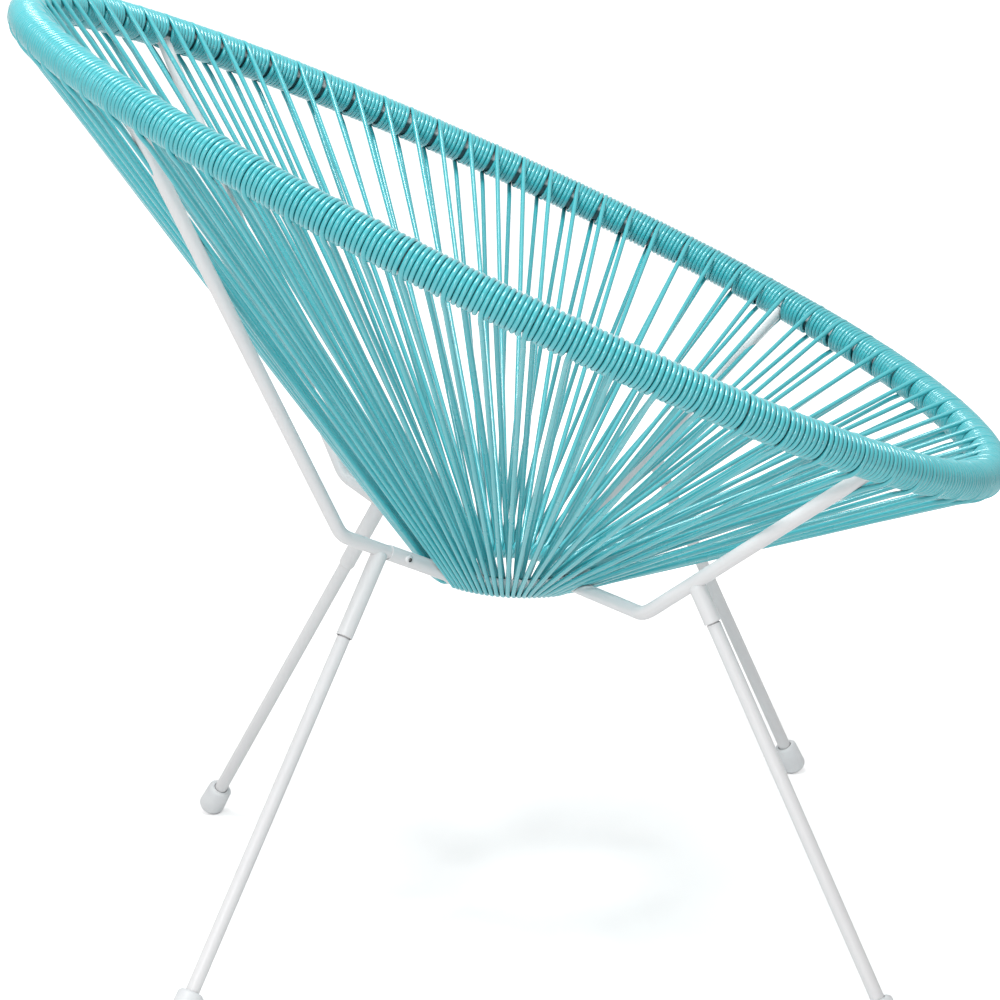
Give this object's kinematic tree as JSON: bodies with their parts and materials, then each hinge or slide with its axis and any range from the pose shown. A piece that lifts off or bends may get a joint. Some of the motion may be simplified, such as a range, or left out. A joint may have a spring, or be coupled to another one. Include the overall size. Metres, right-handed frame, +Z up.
{
  "type": "acapulco chair",
  "caption": "Round-backed lounge chair: an egg-shaped steel rim wound with cord, cords laced from it to a small ring, bent arms and plug-in tube legs.",
  "frame": {"origin": "on the floor, under the middle of the chair's bounding box", "axes": "+Z up, -Y towards the front of the seat, +X to the sitter's left"},
  "size_m": [0.7796, 0.7972, 0.7868],
  "materials": {
    "painted_tube": "white powder coat, satin",
    "cord": "turquoise PVC cord, satin gloss",
    "foot_cap": "light grey-white moulded cap, satin",
    "screw": "zinc-plated button-head screw"
  },
  "bodies": {
    "root": {"rim_tube": "painted_tube", "seat_ring": "painted_tube", "front_arm_right": "painted_tube", "rear_arm_right": "painted_tube", "rear_stub_right": "painted_tube", "rear_arm_screw_right": "screw", "front_socket_right": "painted_tube", "front_leg_right": "painted_tube", "front_foot_right": "foot_cap", "rear_socket_right": "painted_tube", "rear_leg_right": "painted_tube", "rear_foot_right": "foot_cap", "front_arm_left": "painted_tube", "rear_arm_left": "painted_tube", "rear_stub_left": "painted_tube", "rear_arm_screw_left": "screw", "front_socket_left": "painted_tube", "front_leg_left": "painted_tube", "front_foot_left": "foot_cap", "rear_socket_left": "painted_tube", "rear_leg_left": "painted_tube", "rear_foot_left": "foot_cap", "rim_winding_right_1": "cord", "seat_cords_right_1": "cord", "rim_winding_right_2": "cord", "seat_cords_right_2": "cord", "rim_winding_right_3": "cord", "seat_cords_right_3": "cord", "rim_winding_rear_1": "cord", "seat_cords_rear_1": "cord", "rim_winding_rear_2": "cord", "seat_cords_rear_2": "cord", "rim_winding_left_1": "cord", "seat_cords_left_1": "cord", "rim_winding_left_2": "cord", "seat_cords_left_2": "cord", "rim_winding_left_3": "cord", "seat_cords_left_3": "cord", "rim_winding_front_1": "cord", "seat_cords_front_1": "cord", "rim_winding_front_2": "cord", "seat_cords_front_2": "cord", "rim_winding_front_3": "cord", "seat_cords_front_3": "cord"}
  },
  "joints": []
}
